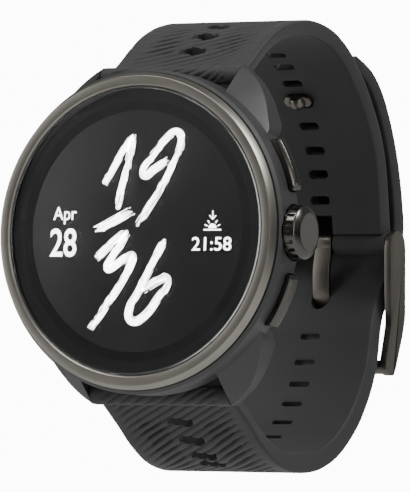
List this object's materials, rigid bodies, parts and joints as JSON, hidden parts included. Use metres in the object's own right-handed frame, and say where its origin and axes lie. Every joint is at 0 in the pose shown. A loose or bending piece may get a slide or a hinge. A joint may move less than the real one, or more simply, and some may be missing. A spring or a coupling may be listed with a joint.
{
  "type": "gps running watch",
  "caption": "Round sports watch with a glass-fronted display, a toothed crown between curved push buttons, and a slotted rubber strap closed by a pin buckle and peg.",
  "frame": {"origin": "centre of the flat sensor window on the case back", "axes": "the dial looks along -Y, so +Y points into the wrist; +X towards the crown at 3 o'clock; +Z towards 12 o'clock"},
  "size_m": [0.047, 0.0615, 0.0642],
  "materials": {
    "case_polymer": "moulded, matt charcoal",
    "bezel_metal": "gunmetal, fine circular brushing",
    "cover_glass": "polished, black printed border",
    "screen": "lit display",
    "seal_rubber": "moulded seal",
    "inner_plastic": "moulded",
    "circuit_board": "solder mask",
    "chip_resin": "moulded resin",
    "shield_can": "tinned sheet",
    "cell_foil": "laminated pouch foil",
    "foam_pad": "adhesive foam",
    "antenna_copper": "plated copper",
    "gold_contact": "gold plated",
    "sensor_glass": "dark polished window",
    "light_chip": "clear resin over a diode",
    "plain_steel": "turned stainless steel",
    "control_metal": "polished gunmetal",
    "strap_rubber": "moulded fluoroelastomer, silky matt",
    "buckle_metal": "gunmetal, satin",
    "peg_metal": "polished"
  },
  "bodies": {
    "case": {"case_body": "case_polymer", "bezel": "bezel_metal", "display_glass": "cover_glass", "glass_gasket": "seal_rubber", "display_panel": "screen", "display_flex": "antenna_copper", "gps_antenna": "antenna_copper", "inner_chassis": "inner_plastic", "main_board": "circuit_board", "board_chips": "chip_resin", "radio_shield": "shield_can", "battery": "cell_foil", "battery_pad": "foam_pad", "vibration_motor": "plain_steel", "control_flex": "antenna_copper", "case_back": "case_polymer", "sensor_window": "sensor_glass", "sensor_board": "circuit_board", "sensor_lights": "light_chip", "case_back_gasket": "seal_rubber", "charging_contacts": "gold_contact", "vent_membrane": "inner_plastic", "case_back_screws": "plain_steel", "crown_bush": "plain_steel", "crown_o_ring": "seal_rubber", "crown_switch": "plain_steel", "crown_sensor": "chip_resin", "upper_strap": "strap_rubber", "lower_strap": "strap_rubber", "upper_button_o_ring": "seal_rubber", "upper_button_switch": "plain_steel", "upper_bar_tube": "plain_steel", "upper_bar_tip": "plain_steel", "lower_button_o_ring": "seal_rubber", "lower_button_switch": "plain_steel", "lower_bar_tube": "plain_steel", "lower_bar_tip": "plain_steel"},
    "crown_slider": {"crown_plunger": "inner_plastic"},
    "crown": {"crown_knob": "control_metal", "crown_stem": "plain_steel", "crown_clip": "plain_steel", "crown_encoder_wheel": "plain_steel"},
    "upper_button": {"upper_button_cap": "control_metal", "upper_button_clip": "plain_steel"},
    "lower_button": {"lower_button_cap": "control_metal", "lower_button_clip": "plain_steel"},
    "upper_release": {"upper_bar_release": "plain_steel"},
    "lower_release": {"lower_bar_release": "plain_steel"},
    "buckle": {"buckle_frame": "buckle_metal", "buckle_bar": "plain_steel"},
    "tongue": {"buckle_tongue": "buckle_metal"},
    "tail": {"strap_tail": "strap_rubber", "strap_peg": "peg_metal"}
  },
  "joints": [
    {"name": "crown_press", "type": "slide", "parent": "case", "child": "crown_slider", "axis": [-1, 0, 0], "range_m": [0, 0.0004], "stiffness_N_per_m": 2500, "springref_m": -0.0003},
    {"name": "crown_turn", "type": "hinge", "parent": "crown_slider", "child": "crown", "pos_m": [0.0231, -0.0057, 0], "axis": [1, 0, 0], "continuous": true},
    {"name": "upper_button_press", "type": "slide", "parent": "case", "child": "upper_button", "axis": [-0.91, 0, -0.4147], "range_m": [0, 0.0004], "stiffness_N_per_m": 2500, "springref_m": -0.0003},
    {"name": "lower_button_press", "type": "slide", "parent": "case", "child": "lower_button", "axis": [-0.91, 0, 0.4147], "range_m": [0, 0.0004], "stiffness_N_per_m": 2500, "springref_m": -0.0003},
    {"name": "upper_release_slide", "type": "slide", "parent": "case", "child": "upper_release", "axis": [-1, 0, 0], "range_m": [0, 0.0013], "stiffness_N_per_m": 500, "springref_m": -0.001},
    {"name": "lower_release_slide", "type": "slide", "parent": "case", "child": "lower_release", "axis": [-1, 0, 0], "range_m": [0, 0.0013], "stiffness_N_per_m": 500, "springref_m": -0.001},
    {"name": "buckle_swing", "type": "hinge", "parent": "case", "child": "buckle", "pos_m": [0, 0.0446, 0.0022], "axis": [1, 0, 0], "range_deg": [-1, 1.5]},
    {"name": "tongue_swing", "type": "hinge", "parent": "buckle", "child": "tongue", "pos_m": [0, 0.0446, 0.0022], "axis": [1, 0, 0], "range_deg": [0, 1.5]},
    {"name": "strap_tail_lift", "type": "hinge", "parent": "case", "child": "tail", "pos_m": [0, 0.0501, 0.00467], "axis": [-1, 0, 0], "range_deg": [0, 35]}
  ]
}
